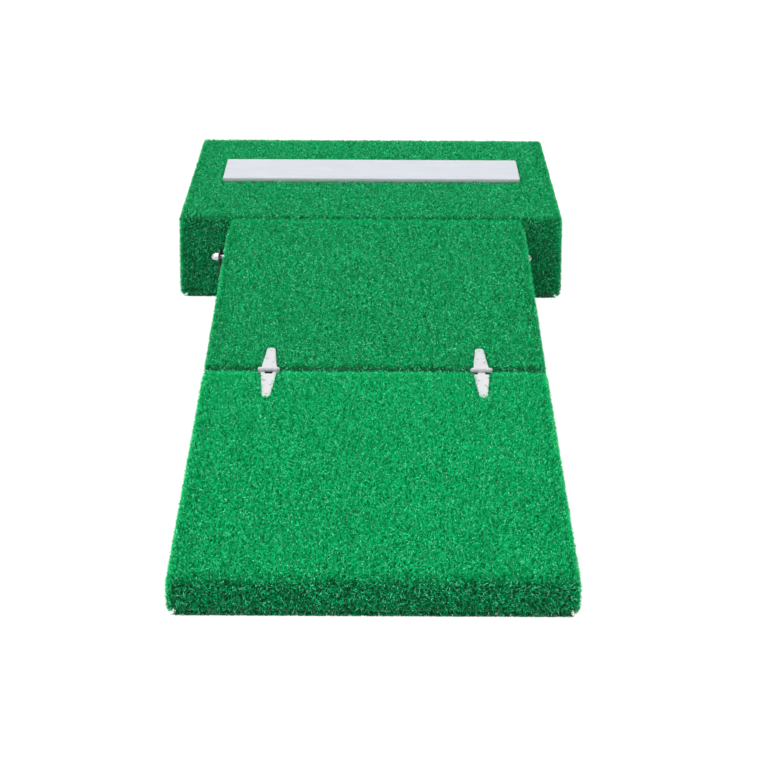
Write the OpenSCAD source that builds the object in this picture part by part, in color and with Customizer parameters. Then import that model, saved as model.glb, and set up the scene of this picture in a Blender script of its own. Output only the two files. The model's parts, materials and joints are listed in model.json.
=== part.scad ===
// Portable pitching mound: a turf-covered box with a pitching rubber on top, and a turf-covered ramp in two
// sections. The upper section hangs on two bolts in front of the box and the lower section folds up over it.
// Millimetres. +Z up, +Y to the rear, +X to the right seen from the front. The origin is on the floor, under
// the middle of the whole mound.

/* [Box] */
// Width of the box over its turf
box_w = 737; // [690:1:800]
// Depth of the box over its turf
box_d = 630; // [560:1:700]
// Height of the turf surface on top of the box
box_h = 157; // [150:1:165]
// Radius of the box's upright turf corners
box_corner_r = 14; // [10:1:16]
// Distance of each joist from the box's centre line
joist_x = 130; // [100:5:180]

/* [Pitching rubber] */
// Length of the rubber
rubber_l = 609.6; // [457:0.2:609.6]
// Width of the rubber
rubber_w = 152.4; // [101:0.2:152.4]
// Height of the rubber above the turf
rubber_proud = 7.8; // [4:0.2:12]
// Distance from the box's front face to the rubber's front edge
rubber_setback = 271; // [200:1:300]

/* [Ramp] */
// Width of the ramp over its turf
ramp_w = 559; // [500:1:559]
// How far the ramp sits to the right of the box's centre line
ramp_shift = 11; // [0:0.5:11]
// Gap between the box and the ramp's top end
ramp_gap = 18; // [16:1:24]
// Length of the upper section along the floor
upper_len = 693; // [640:1:720]
// Length of the lower section along the floor
lower_len = 677; // [620:1:690]
// Gap between the two sections
fold_gap = 2; // [1:0.5:3]
// Height of the turf surface at the ramp's front end
front_h = 46; // [44:1:50]
// Run of the ramp for each unit of rise
slope_run = 12; // [11.5:0.1:12.5]

/* [Thicknesses] */
// Turf, backing and pile together
turf_t = 9; // [7:0.5:10]
// Plywood of the decks
deck_t = 12; // [9:1:12]
// Plywood of the boards and rails
board_t = 18; // [15:1:18]
// Non-slip rubber strips under the boards
strip_t = 3; // [2:0.5:4]

/* [Pivot hardware] */
// Distance from the box's front face to the pivot bolts
pivot_out = 56; // [56:1:60]
// Height of the pivot bolts above the floor
pivot_h = 95; // [92:1:100]
// Distance between the outer faces of the two brackets
bracket_span = 586; // [586:1:600]
// How far the brackets sit to the right of the box's centre line
bracket_shift = 2; // [0:0.5:2]
// Height of a bracket
bracket_h = 80; // [60:1:80]
// Length of a bracket's face flange
bracket_face_l = 40; // [36:1:50]
// Thickness of a bracket
bracket_t = 3; // [3:0.5:4]
// Radius of a bracket's front corners
bracket_end_r = 14; // [10:1:14]
// Slope of a bracket's top edge, down to the box, in degrees
bracket_slope = 17; // [10:1:20]
// Radius of a pivot bolt
bolt_r = 4; // [3:0.5:4]
// Play between a pivot bolt and its hole in the rail, on the radius
bolt_play = 0.06; // [0.03:0.01:0.1]

/* [Hinges] */
// Distance of each hinge from the ramp's centre line
hinge_x = 173.5; // [150:0.5:190]
// Length of a leaf from the hinge axis
leaf_l = 96; // [90:1:100]
// Thickness of a leaf
leaf_t = 2.2; // [2:0.1:2.5]
// Width of a leaf where its taper starts
leaf_root_w = 27; // [24:1:30]
// Radius of a leaf's rounded tip
leaf_tip_r = 7; // [6:0.5:8]
// Length of the barrel
barrel_l = 33; // [30:1:36]
// Radius of the barrel
barrel_r = 4.1; // [3.6:0.1:4.5]
// Radius of the hinge pin
pin_r = 2; // [1.5:0.1:2.2]
// Play between the pin and the knuckles, on the radius
pin_play = 0.05; // [0.02:0.01:0.1]
// How deep a leaf is pressed into the pile
leaf_sink = 2; // [2:0.5:3.5]

/* [Hidden] */
$fn = 48;
cut = 1;                                  // how far a cutting shape runs past what it cuts
skirt_z = strip_t + 0.5;                  // bottom edge of the turf around the box and lower section
strip_gap = 1;                            // between the ends of neighbouring non-slip strips

// Places along Y, from the rear to the front
total_len = box_d + ramp_gap + upper_len + fold_gap + lower_len;
y_rear = total_len / 2;
y_face = y_rear - box_d;
y_ramp_top = y_face - ramp_gap;
y_fold = y_ramp_top - upper_len - fold_gap / 2;
y_front = -total_len / 2;

// The ramp's surface line and what lies under it
slope = 1 / slope_run;
slope_deg = atan(slope);
function turf_top(y) = front_h + (y - y_front) * slope;
function deck_top(y) = turf_top(y) - turf_t / cos(slope_deg);
function deck_bottom(y) = deck_top(y) - deck_t / cos(slope_deg);

// Each ramp section's ends, as [front, rear], over the turf and over the wood
upper_ends = [y_fold + fold_gap / 2, y_ramp_top];
lower_ends = [y_front, y_fold - fold_gap / 2];
function wood(ends) = [ends[0] + turf_t, ends[1] - turf_t];
// The upper section is as deep all along, and meets the floor only at the fold
function upper_bottom(y) = strip_t + (y - wood(upper_ends)[0]) * slope;

// Carcass of the box
carcass_w = box_w - 2 * turf_t;
carcass_d = box_d - 2 * turf_t;
carcass_top = box_h - turf_t;
box_y = y_rear - box_d / 2;
board_top = carcass_top - deck_t;

// Ramp width over the wood, and the places of its rails
frame_w = ramp_w - 2 * turf_t;
rail_x = frame_w / 2 - board_t / 2;

// Pivot
y_pivot = y_face - pivot_out;
flange_front = y_pivot - bracket_end_r;
flange_back = y_face + 1 + bracket_t;
bracket_foot = pivot_h + bracket_end_r - bracket_h;
// Where the sloping top edge leaves the rounded corner, and how high it meets the face flange
slope_start = [bracket_end_r * sin(bracket_slope), bracket_h - bracket_end_r * (1 - cos(bracket_slope))];
bracket_face_h = slope_start[1] - (flange_back - y_pivot - slope_start[0]) * tan(bracket_slope);
nut_af = 13;
nut_h = 6.5;
dome_r = 6.2;
dome_lift = 1.2;
nut_bore_h = 8.2;
head_h = 5.3;
washer_t = 1.6;
washer_r = 8.5;
hex_r = nut_af / 2 / cos(30);
side_play = 0.3;
// From a bracket's outer face to its bolt's head, across the left rail
rail_inner_x = ramp_shift - frame_w / 2 + board_t;
bolt_grip = rail_inner_x - bracket_shift + bracket_span / 2 + side_play + washer_t;

// Hinge frame: the axis stands over the fold, and local Y runs up the slope
axis_over_turf = barrel_r - leaf_sink;
axis_z = turf_top(y_fold) + axis_over_turf / cos(slope_deg);
mid_knuckle = 6;
knuckle_gap = 0.3;
// How far the room for the other leaf's knuckles reaches into a leaf, from the axis
knuckle_room_l = 11;
ear_l = 5;
// The screws pull a leaf's tip down into the pile by this angle
leaf_pitch = 1.2;
// Screw places on a leaf, as [across, from the axis]
leaf_screws = [[6, 35], [-5, 51], [0, 85]];

// Wood screws, as [shank radius, head radius, length]
deck_screw = [2, 4, 40];
ramp_screw = [2, 4, 28];
hinge_screw = [2.1, 4.1, 30];

// Screws through a bracket's face flange. They end inside the box's front board
bracket_screw_l = 24;
bracket_screw_r = 2.2;
bracket_screw_head_r = 4.5;
bracket_screw_head_h = 1.8;
bracket_screw_x = 25;
bracket_screw_zs = [pivot_h - 54, pivot_h - 35, pivot_h - 16];

// Bolts that hold the pitching rubber, and how far they reach into it
rubber_bolt_r = 3;
rubber_bolt_reach = 9;

// ---------- general shapes ----------

// A profile in the YZ plane, extruded across X from x0 to x1
module across(x0, x1, profile)
    translate([x0, 0, 0])
        rotate([90, 0, 90])
            linear_extrude(x1 - x0)
                polygon(profile);

// A plate w by d with round upright corners
module rounded_plate(w, d, h, r)
    linear_extrude(h) {
        square([w - 2 * r, d], center = true);
        square([w, d - 2 * r], center = true);
        for (sx = [-1, 1], sy = [-1, 1])
            translate([sx * (w / 2 - r), sy * (d / 2 - r)])
                circle(r);
    }

// A countersunk screw with its head's top at the origin, pointing down
module wood_screw(size) {
    head_depth = size[1] - size[0];
    difference() {
        union() {
            translate([0, 0, -head_depth])
                cylinder(r1 = size[0], r2 = size[1], h = head_depth);
            translate([0, 0, -size[2]])
                cylinder(r = size[0], h = size[2] - head_depth);
        }
        cross_recess(size[0] * 1.1);
    }
}

module cross_recess(reach)
    for (a = [45, 135])
        rotate([0, 0, a])
            translate([-reach, -0.5, -1.1])
                cube([2 * reach, 1, 1.1 + cut]);

// A hexagonal head standing on the XY plane
module hexagon(h)
    cylinder(r = hex_r, h = h, $fn = 6);

// ---------- box ----------

module box_deck()
    color("burlywood")
        translate([-carcass_w / 2, box_y - carcass_d / 2, board_top])
            cube([carcass_w, carcass_d, deck_t]);

// A board of the box's frame, from one corner, standing on its rubber strip
module box_board(x, y, w, d)
    color("burlywood")
        translate([x, y, strip_t])
            cube([w, d, board_top - strip_t]);

module box_front_board()
    box_board(-carcass_w / 2, box_y - carcass_d / 2, carcass_w, board_t);

module box_rear_board()
    box_board(-carcass_w / 2, box_y + carcass_d / 2 - board_t, carcass_w, board_t);

module box_long_board(x)
    box_board(x - board_t / 2, box_y - carcass_d / 2 + board_t, board_t, carcass_d - 2 * board_t);

module box_left_board() box_long_board(-(carcass_w - board_t) / 2);
module box_right_board() box_long_board((carcass_w - board_t) / 2);
module box_left_joist() box_long_board(-joist_x);
module box_right_joist() box_long_board(joist_x);

// Places across the box of its side boards and joists
box_board_xs = [-(carcass_w - board_t) / 2, -joist_x, joist_x, (carcass_w - board_t) / 2];

module box_deck_screws()
    color("silver")
        translate([0, 0, carcass_top]) {
            for (x = [-300, -210, -50, 50, 210, 300], side = [-1, 1])
                translate([x, box_y + side * (carcass_d - board_t) / 2, 0])
                    wood_screw(deck_screw);
            for (x = [box_board_xs[0], box_board_xs[3]], y = [-180, 0, 180])
                translate([x, box_y + y, 0])
                    wood_screw(deck_screw);
            for (x = [-joist_x, joist_x], y = [-180, 180])
                translate([x, box_y + y, 0])
                    wood_screw(deck_screw);
        }

module box_corner_screws()
    color("silver")
        for (x = box_board_xs, z = [45, 95], side = [-1, 1])
            translate([x, box_y + side * carcass_d / 2, z])
                rotate([-90 * side, 0, 0])
                    wood_screw(deck_screw);

module box_turf()
    color("forestgreen")
        difference() {
            translate([0, box_y, skirt_z])
                rounded_plate(box_w, box_d, box_h - skirt_z, box_corner_r);
            translate([-carcass_w / 2, box_y - carcass_d / 2, -cut])
                cube([carcass_w, carcass_d, carcass_top + cut]);
            translate([-rubber_l / 2 - 0.5, y_face + rubber_setback - 0.5, carcass_top - cut])
                cube([rubber_l + 1, rubber_w + 1, turf_t + 2 * cut]);
            for (side = [-1, 1])
                bracket_pocket(side);
        }

// The pile is pressed flat where a bracket's face flange lies on it
module bracket_pocket(side)
    mirror_x(side)
        translate([-bracket_span / 2 - 0.5, y_face - cut, bracket_foot - 0.5])
            cube([bracket_face_l + 1, cut + 1 + bracket_t, bracket_face_h + 1]);

// A non-slip strip under a board, from one corner
module strip(x, y, w, d)
    color("black")
        translate([x, y, 0])
            cube([w, d, strip_t]);

module box_cross_strip(side)
    strip(-carcass_w / 2, box_y + side * (carcass_d - board_t) / 2 - board_t / 2, carcass_w, board_t);

module box_long_strip(side)
    strip(side * (carcass_w - board_t) / 2 - board_t / 2, box_y - carcass_d / 2 + board_t + strip_gap,
          board_t, carcass_d - 2 * board_t - 2 * strip_gap);

module box_front_strip() box_cross_strip(-1);
module box_rear_strip() box_cross_strip(1);
module box_left_strip() box_long_strip(-1);
module box_right_strip() box_long_strip(1);

module pitching_rubber()
    color("white")
        translate([0, y_face + rubber_setback + rubber_w / 2, carcass_top])
            rounded_plate(rubber_l, rubber_w, turf_t + rubber_proud, 2);

// Bolts up through the deck into the rubber's moulded sockets
module rubber_bolts()
    color("silver")
        for (x = [-250, 0, 250], y = [-45, 45])
            translate([x, y_face + rubber_setback + rubber_w / 2 + y, board_top]) {
                translate([0, 0, -washer_t])
                    cylinder(r = washer_r, h = washer_t);
                translate([0, 0, -washer_t - head_h])
                    hexagon(head_h);
                cylinder(r = rubber_bolt_r, h = deck_t + rubber_bolt_reach);
            }

// ---------- pivot hardware ----------

// The left side as drawn, or its mirror image on the right, about the brackets' middle plane
module mirror_x(side)
    translate([bracket_shift, 0, 0])
        mirror([side > 0 ? 1 : 0, 0, 0])
            children();

module bracket(side)
    color("dimgray")
        mirror_x(side)
            difference() {
                union() {
                    bracket_side_flange();
                    translate([-bracket_span / 2, flange_back - bracket_t, bracket_foot])
                        cube([bracket_face_l, bracket_t, bracket_face_h]);
                }
                translate([-bracket_span / 2 - cut, y_pivot, pivot_h])
                    rotate([0, 90, 0])
                        cylinder(r = bolt_r + 0.25, h = bracket_t + 2 * cut);
                for (z = bracket_screw_zs)
                    translate([-bracket_span / 2 + bracket_screw_x, flange_back + cut, z])
                        rotate([90, 0, 0])
                            cylinder(r = 2.6, h = bracket_t + 2 * cut);
            }

// The flange beside the ramp, with its two front corners rounded and its top edge sloping to the box
module bracket_side_flange()
    translate([-bracket_span / 2, 0, bracket_foot])
        rotate([90, 0, 90])
            linear_extrude(bracket_t) {
                translate([y_pivot, 0])
                    polygon([[0, 0], [flange_back - y_pivot, 0], [flange_back - y_pivot, bracket_face_h],
                             slope_start, [0, bracket_h - bracket_end_r]]);
                translate([flange_front, bracket_end_r])
                    square([bracket_end_r + cut, bracket_h - 2 * bracket_end_r]);
                for (z = [bracket_end_r, bracket_h - bracket_end_r])
                    translate([y_pivot, z])
                        circle(bracket_end_r);
            }

module left_bracket() bracket(-1);
module right_bracket() bracket(1);

module bracket_screws()
    color("silver")
        for (side = [-1, 1], z = bracket_screw_zs)
            mirror_x(side)
                translate([-bracket_span / 2 + bracket_screw_x, flange_back - bracket_t, z])
                    rotate([90, 0, 0])
                        difference() {
                            union() {
                                cylinder(r = bracket_screw_head_r, h = bracket_screw_head_h);
                                translate([0, 0, -bracket_screw_l])
                                    cylinder(r = bracket_screw_r, h = bracket_screw_l);
                            }
                            translate([0, 0, bracket_screw_head_h])
                                cross_recess(bracket_screw_r * 1.1);
                        }

// Everything on a pivot bolt is drawn along +X from the bracket's outer face
module on_pivot(side)
    mirror_x(side)
        translate([-bracket_span / 2, y_pivot, pivot_h])
            rotate([0, 90, 0])
                children();

module pivot_bolts()
    color("silver")
        for (side = [-1, 1])
            on_pivot(side) {
                translate([0, 0, -nut_bore_h + 0.2])
                    cylinder(r = bolt_r, h = bolt_grip + nut_bore_h - 0.2);
                translate([0, 0, bolt_grip])
                    hexagon(head_h);
            }

module pivot_washers()
    color("silver")
        for (side = [-1, 1])
            on_pivot(side)
                translate([0, 0, bolt_grip - washer_t])
                    difference() {
                        cylinder(r = washer_r, h = washer_t);
                        translate([0, 0, -cut])
                            cylinder(r = bolt_r + 0.25, h = washer_t + 2 * cut);
                    }

module dome_nuts()
    color("silver")
        for (side = [-1, 1])
            on_pivot(side)
                rotate([180, 0, 0])
                    difference() {
                        union() {
                            hexagon(nut_h);
                            translate([0, 0, nut_h])
                                intersection() {
                                    translate([0, 0, dome_lift])
                                        sphere(r = dome_r);
                                    cylinder(r = nut_af, h = nut_af);
                                }
                        }
                        translate([0, 0, -cut])
                            cylinder(r = bolt_r + 0.02, h = nut_bore_h + cut);
                    }

// ---------- ramp ----------

module section_deck(ends) {
    w = wood(ends);
    color("burlywood")
        translate([ramp_shift, 0, 0])
            across(-frame_w / 2, frame_w / 2,
                   [[w[0], deck_bottom(w[0])], [w[1], deck_bottom(w[1])],
                    [w[1], deck_top(w[1])], [w[0], deck_top(w[0])]]);
}

// A rail along the slope
module section_rail(x, y0, y1, z0, z1)
    color("burlywood")
        across(ramp_shift + x - board_t / 2, ramp_shift + x + board_t / 2,
               [[y0, z0], [y1, z1], [y1, deck_bottom(y1)], [y0, deck_bottom(y0)]]);

// The outer rails run the section's whole length, and the inner ones stop at its end boards
module upper_rail(x, stop) {
    y0 = wood(upper_ends)[0] + stop;
    y1 = wood(upper_ends)[1] - stop;
    section_rail(x, y0, y1, upper_bottom(y0), upper_bottom(y1));
}

module lower_rail(x, stop)
    section_rail(x, wood(lower_ends)[0] + stop, wood(lower_ends)[1] - stop, strip_t, strip_t);

// A board across the section between its outer rails, with a level bottom edge
module section_board(y0, z0)
    color("burlywood")
        across(rail_inner_x, rail_inner_x + frame_w - 2 * board_t,
               [[y0, z0], [y0 + board_t, z0],
                [y0 + board_t, deck_bottom(y0 + board_t)], [y0, deck_bottom(y0)]]);

// A section's turf: the whole profile, less the wood that it covers
module section_turf(ends, z0, z1, floor_z) {
    w = wood(ends);
    color("forestgreen")
        difference() {
            across(ramp_shift - ramp_w / 2, ramp_shift + ramp_w / 2,
                   [[ends[0], z0], [ends[1], z1], [ends[1], turf_top(ends[1])],
                    [ends[0], turf_top(ends[0])]]);
            across(ramp_shift - frame_w / 2, ramp_shift + frame_w / 2,
                   [[w[0], floor_z], [w[1], floor_z], [w[1], deck_top(w[1])],
                    [w[0], deck_top(w[0])]]);
            for (side = [-1, 1])
                at_hinge(side)
                    hinge_pocket();
            children();
        }
}

module section_deck_screws(ends) {
    w = wood(ends);
    places = [for (t = [0.15, 0.5, 0.85]) w[0] + t * (w[1] - w[0])];
    color("silver") {
        for (x = [-rail_x, rail_x], y = places)
            deck_screw_at(x, y);
        for (x = [-90, 90], y = [w[0] + board_t / 2, w[1] - board_t / 2])
            deck_screw_at(x, y);
    }
}

module deck_screw_at(x, y)
    translate([ramp_shift + x, y, deck_top(y)])
        rotate([slope_deg, 0, 0])
            wood_screw(ramp_screw);

// Screws through the end boards into the inner rails, and through the outer rails into the end boards
module section_corner_screws(ends, z_front, z_rear) {
    w = wood(ends);
    color("silver")
        for (side = [-1, 1])
            translate([ramp_shift, 0, 0]) {
                translate([side * hinge_x, w[0], z_front])
                    rotate([90, 0, 0])
                        wood_screw(deck_screw);
                translate([side * hinge_x, w[1], z_rear])
                    rotate([-90, 0, 0])
                        wood_screw(deck_screw);
                translate([side * frame_w / 2, w[0] + board_t / 2, z_front])
                    rotate([0, 90 * side, 0])
                        wood_screw(deck_screw);
                translate([side * frame_w / 2, w[1] - board_t / 2, z_rear])
                    rotate([0, 90 * side, 0])
                        wood_screw(deck_screw);
            }
}

module upper_deck() section_deck(upper_ends);

// The outer rails turn on the pivot bolts
module pivot_rail(x)
    color("burlywood")
        difference() {
            upper_rail(x, 0);
            translate([ramp_shift + x - board_t, y_pivot, pivot_h])
                rotate([0, 90, 0])
                    cylinder(r = bolt_r + bolt_play, h = 2 * board_t);
        }

module upper_left_rail() pivot_rail(-rail_x);
module upper_right_rail() pivot_rail(rail_x);
module upper_left_inner_rail() upper_rail(-hinge_x, board_t);
module upper_right_inner_rail() upper_rail(hinge_x, board_t);

module upper_rear_board() {
    y0 = wood(upper_ends)[1] - board_t;
    section_board(y0, upper_bottom(y0 + board_t));
}

module upper_front_board() section_board(wood(upper_ends)[0], strip_t);
module upper_deck_screws() section_deck_screws(upper_ends);

module upper_corner_screws()
    section_corner_screws(upper_ends, pivot_h / 2, pivot_h + 15);

module upper_turf()
    section_turf(upper_ends, skirt_z, upper_bottom(upper_ends[1]), -cut)
        translate([ramp_shift - ramp_w / 2 - cut, y_pivot, pivot_h])
            rotate([0, 90, 0])
                cylinder(r = bolt_r + 3, h = ramp_w + 2 * cut);

module upper_base_strip()
    strip(ramp_shift - frame_w / 2, wood(upper_ends)[0], frame_w, board_t);

module lower_deck() section_deck(lower_ends);
module lower_left_rail() lower_rail(-rail_x, 0);
module lower_right_rail() lower_rail(rail_x, 0);
module lower_left_inner_rail() lower_rail(-hinge_x, board_t);
module lower_right_inner_rail() lower_rail(hinge_x, board_t);
module lower_rear_board() section_board(wood(lower_ends)[1] - board_t, strip_t);
module lower_front_board() section_board(wood(lower_ends)[0], strip_t);
module lower_deck_screws() section_deck_screws(lower_ends);

module lower_corner_screws()
    section_corner_screws(lower_ends, strip_t + 12, pivot_h / 2);

module lower_turf() section_turf(lower_ends, skirt_z, skirt_z, -cut);

module lower_cross_strip(y)
    strip(rail_inner_x + strip_gap, y, frame_w - 2 * board_t - 2 * strip_gap, board_t);

module lower_long_strip(side)
    strip(ramp_shift + side * rail_x - board_t / 2, wood(lower_ends)[0],
          board_t, wood(lower_ends)[1] - wood(lower_ends)[0]);

module lower_front_strip() lower_cross_strip(wood(lower_ends)[0]);
module lower_rear_strip() lower_cross_strip(wood(lower_ends)[1] - board_t);
module lower_left_strip() lower_long_strip(-1);
module lower_right_strip() lower_long_strip(1);

// ---------- hinges ----------

module at_hinge(side)
    translate([ramp_shift + side * hinge_x, y_fold, axis_z])
        rotate([slope_deg, 0, 0])
            children();

// Outline of a leaf along +Y from the axis
module leaf_outline(grow = 0) {
    translate([-barrel_l / 2 - grow, 0])
        square([barrel_l + 2 * grow, ear_l + grow]);
    polygon([[-leaf_root_w / 2 - grow, 0], [leaf_root_w / 2 + grow, 0],
             [leaf_tip_r + grow, leaf_l - leaf_tip_r], [-leaf_tip_r - grow, leaf_l - leaf_tip_r]]);
    translate([0, leaf_l - leaf_tip_r])
        circle(leaf_tip_r + grow);
}

// The hollow in the pile under a hinge, in both sections
module hinge_pocket() {
    for (a = [0, 180])
        rotate([0, 0, a])
            rotate([-leaf_pitch, 0, 0])
                translate([0, 0, -barrel_r])
                    linear_extrude(2 * barrel_r)
                        leaf_outline(1);
    rotate([0, 90, 0])
        cylinder(r = barrel_r + 1, h = barrel_l + 4, center = true);
}

module knuckle(x0, x1)
    translate([x0, 0, 0])
        rotate([0, 90, 0])
            cylinder(r = barrel_r, h = x1 - x0);

// Room for the other leaf's knuckles
module knuckle_room(x0, x1)
    translate([x0, -barrel_r - 1, -barrel_r - cut])
        cube([x1 - x0, barrel_r + 1 + knuckle_room_l, 2 * barrel_r + 2 * cut]);

// A leaf along +Y. It carries the middle knuckle or the two outer ones
module leaf(has_middle) {
    inner = mid_knuckle;
    outer = mid_knuckle + knuckle_gap;
    end = barrel_l / 2;
    color("gainsboro")
        rotate([-leaf_pitch, 0, 0])
            difference() {
                union() {
                    difference() {
                        translate([0, 0, -barrel_r])
                            linear_extrude(leaf_t)
                                leaf_outline();
                        if (has_middle)
                            for (flip = [0, 1])
                                mirror([flip, 0, 0])
                                    knuckle_room(inner, end + cut);
                        else
                            knuckle_room(-outer, outer);
                    }
                    if (has_middle)
                        knuckle(-inner, inner);
                    else
                        for (x = [-end, outer])
                            knuckle(x, x + end - outer);
                }
                rotate([0, 90, 0])
                    cylinder(r = pin_r + pin_play, h = barrel_l + 2 * cut, center = true);
                for (p = leaf_screws)
                    translate([p[0], p[1], -barrel_r]) {
                        translate([0, 0, -cut])
                            cylinder(r = hinge_screw[0] + 0.2, h = leaf_t + 2 * cut);
                        translate([0, 0, leaf_t - 2])
                            cylinder(r1 = hinge_screw[0] + 0.1, r2 = hinge_screw[1] + 0.1, h = 2);
                    }
            }
}

// The lower leaf is the same shape, turned half round the vertical
module left_hinge_upper_leaf() at_hinge(-1) leaf(true);
module right_hinge_upper_leaf() at_hinge(1) leaf(false);
module left_hinge_lower_leaf() at_hinge(-1) rotate([0, 0, 180]) leaf(false);
module right_hinge_lower_leaf() at_hinge(1) rotate([0, 0, 180]) leaf(true);

// Pins with peened ends
module hinge_pins()
    color("silver")
        for (side = [-1, 1])
            at_hinge(side)
                rotate([0, 90, 0]) {
                    cylinder(r = pin_r, h = barrel_l + 1, center = true);
                    for (s = [-1, 1])
                        translate([0, 0, s * (barrel_l / 2 + 0.75)])
                            cylinder(r = pin_r + 0.8, h = 1, center = true);
                }

module leaf_screw_set(turn)
    color("silver")
        for (side = [-1, 1], p = leaf_screws)
            at_hinge(side)
                rotate([0, 0, turn])
                    rotate([-leaf_pitch, 0, 0])
                        translate([p[0], p[1], -barrel_r + leaf_t - 0.05])
                            wood_screw(hinge_screw);

module upper_hinge_screws() leaf_screw_set(0);
module lower_hinge_screws() leaf_screw_set(180);

// ---------- assembly ----------

box_deck();
box_front_board();
box_rear_board();
box_left_board();
box_right_board();
box_left_joist();
box_right_joist();
box_deck_screws();
box_corner_screws();
box_turf();
box_front_strip();
box_rear_strip();
box_left_strip();
box_right_strip();
pitching_rubber();
rubber_bolts();
left_bracket();
right_bracket();
bracket_screws();
pivot_bolts();
pivot_washers();
dome_nuts();
upper_deck();
upper_left_rail();
upper_right_rail();
upper_left_inner_rail();
upper_right_inner_rail();
upper_rear_board();
upper_front_board();
upper_deck_screws();
upper_corner_screws();
upper_turf();
upper_base_strip();
left_hinge_upper_leaf();
right_hinge_upper_leaf();
hinge_pins();
upper_hinge_screws();
lower_deck();
lower_left_rail();
lower_right_rail();
lower_left_inner_rail();
lower_right_inner_rail();
lower_rear_board();
lower_front_board();
lower_deck_screws();
lower_corner_screws();
lower_turf();
lower_front_strip();
lower_rear_strip();
lower_left_strip();
lower_right_strip();
left_hinge_lower_leaf();
right_hinge_lower_leaf();
lower_hinge_screws();
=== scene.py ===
"""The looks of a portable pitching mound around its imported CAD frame: curled turf pile on thin backings, a
moulded rubber, and materials for the wood and metal. Metres, in the CAD's frame."""

import json
import math

import bmesh
import bpy
import numpy as np
from mathutils import Matrix, Vector


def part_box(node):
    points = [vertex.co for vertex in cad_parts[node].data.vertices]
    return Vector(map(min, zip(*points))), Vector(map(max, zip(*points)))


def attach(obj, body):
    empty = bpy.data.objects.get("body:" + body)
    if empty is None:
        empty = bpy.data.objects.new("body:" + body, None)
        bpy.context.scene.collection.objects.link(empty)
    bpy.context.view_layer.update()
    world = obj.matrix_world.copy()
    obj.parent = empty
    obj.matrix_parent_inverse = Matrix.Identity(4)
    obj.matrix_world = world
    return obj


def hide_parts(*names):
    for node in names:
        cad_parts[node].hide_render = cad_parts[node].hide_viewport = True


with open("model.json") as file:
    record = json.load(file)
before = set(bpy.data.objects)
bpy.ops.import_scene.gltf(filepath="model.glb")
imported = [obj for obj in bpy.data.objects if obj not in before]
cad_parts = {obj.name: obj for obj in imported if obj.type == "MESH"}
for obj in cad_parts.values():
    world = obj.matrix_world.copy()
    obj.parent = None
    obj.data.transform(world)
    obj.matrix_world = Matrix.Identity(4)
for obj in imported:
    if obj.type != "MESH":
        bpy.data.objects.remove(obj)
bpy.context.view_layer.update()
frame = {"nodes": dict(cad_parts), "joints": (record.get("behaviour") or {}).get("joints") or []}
nodes = frame["nodes"]
MM = 0.001
WELD = 0.01 * MM           # mesh points nearer than this are one point

# ---------- sizes of the turf ----------

TURF_T = 9 * MM            # backing and pile together, over the wood
BACKING_T = 2.5 * MM
BACKING_EDGE_H = 5 * MM    # below this height the backing is the brown of its underside
PILE_H = TURF_T - BACKING_T
SPACING = 1.7 * MM         # between neighbouring blades
BLADE_L = 8.6 * MM         # a blade's own length, along its curl
RINGS = np.array([0.0, 0.55, 1.0])   # places along a blade where it bends
RING_WIDTHS = np.array([0.7, 0.85, 0.5]) * MM
BLADES_PER_PIECE = 40000
FAN_R = TURF_T             # the radius at which a rounded edge's blades are as dense as a face's
ROOT_SHARE = 0.8           # how far up through the backing a blade starts
HEIGHT_SPREAD = (0.82, 1.2)   # of the blades, as shares of PILE_H
HEM_H = 10 * MM            # height over a cover's lower edge where its pile starts to droop
HEM_OUT, HEM_DOWN = 0.98, 0.2   # the way that the lowest blades point

# How many times as long the pile is as on top of the box and of the upper section
BOX_SIDE_PILE = 1.4
SKIRT_H = 120 * MM         # from this height down it grows longer still, by SKIRT_MORE at the floor
SKIRT_MORE = 0.3
UPPER_SIDE_PILE = 1.2      # growing by UPPER_MORE up to the box
UPPER_MORE = 0.4
LOWER_PILE = 1.4           # on the lower section's sloping top and its front lip
LOWER_SIDE_PILE = 1.3
HEM_GROWTH = 1.25          # for blades that point out along the floor at front and rear, on top of that
HEM_TUCK = 0.6             # the pile at the foot of the left and right sides, which tucks in
REAR_FACE_PILE = 0.9       # the pile on the ramp's rear end and beside the brackets, which are close
REAR_CREST = 1.42          # the pile that stands up over a rear edge
RUBBER_LAP = 5 * MM        # the pile this near the rubber stands up against its sides
RUBBER_HUG = 1.35

HEM_DENSITY = 12.0         # how much denser the blades along the floor are than round another edge
HEM_SPREAD = 4.6 * MM      # how far out the lowest front and rear blades are pushed by the floor
HEM_ENDS = 3.5 * MM        # how far from the corners that stops
HEM_DARK = 0.35            # how much darker the blades along the floor are
SPLAY_W = 20 * MM          # the pile leans out over every edge, from this far inside it
SPLAY = 0.4                # and by this much at the edge itself
TONE_LOW, TONE_RANGE = 0.22, 0.7   # the blades' tones, from dark to light green
TUFT_W = 2.3 * MM          # a tuft's blades share part of their tone
TUFT_SHARE = 0.58          # how large that part is
TUFT_TONES = 100003        # a tuft's place picks one of this many tones
TUFT_STEPS = np.array([1, 2003, 4000037])   # uneven enough that neighbours don't repeat
TUFT_SPREAD, BLADE_SPREAD = (0.8, 0.9), (1.5, 1.6)   # beta distributions of the two parts
LIP_PAINTED_SHADE = 0.25            # painted shade: how much darker the ramp's front face is made than its top, as it faces away from the light
BOX_FACE_PAINTED_SHADE = 0.1        # painted shade: how much darker the box's front face is made than its top, as it faces away from the light
BOX_FACE_TOP = 0.08        # and how much of that is left out near its top edge
EDGE_PAINTED_LIGHT = 0.22            # painted light and shade: how much lighter the pile is made towards a rear edge, which faces the light, and darker towards a front edge
PALE_SHARE = 0.11          # share of blades whose tips catch the light as pale flecks
SIDE_PALE_SHARE = 0.17     # and on the sides, where the tips point outwards
PALE_TONE = 0.95           # blades with a tone over this get painted highlights: pale tips
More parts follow.
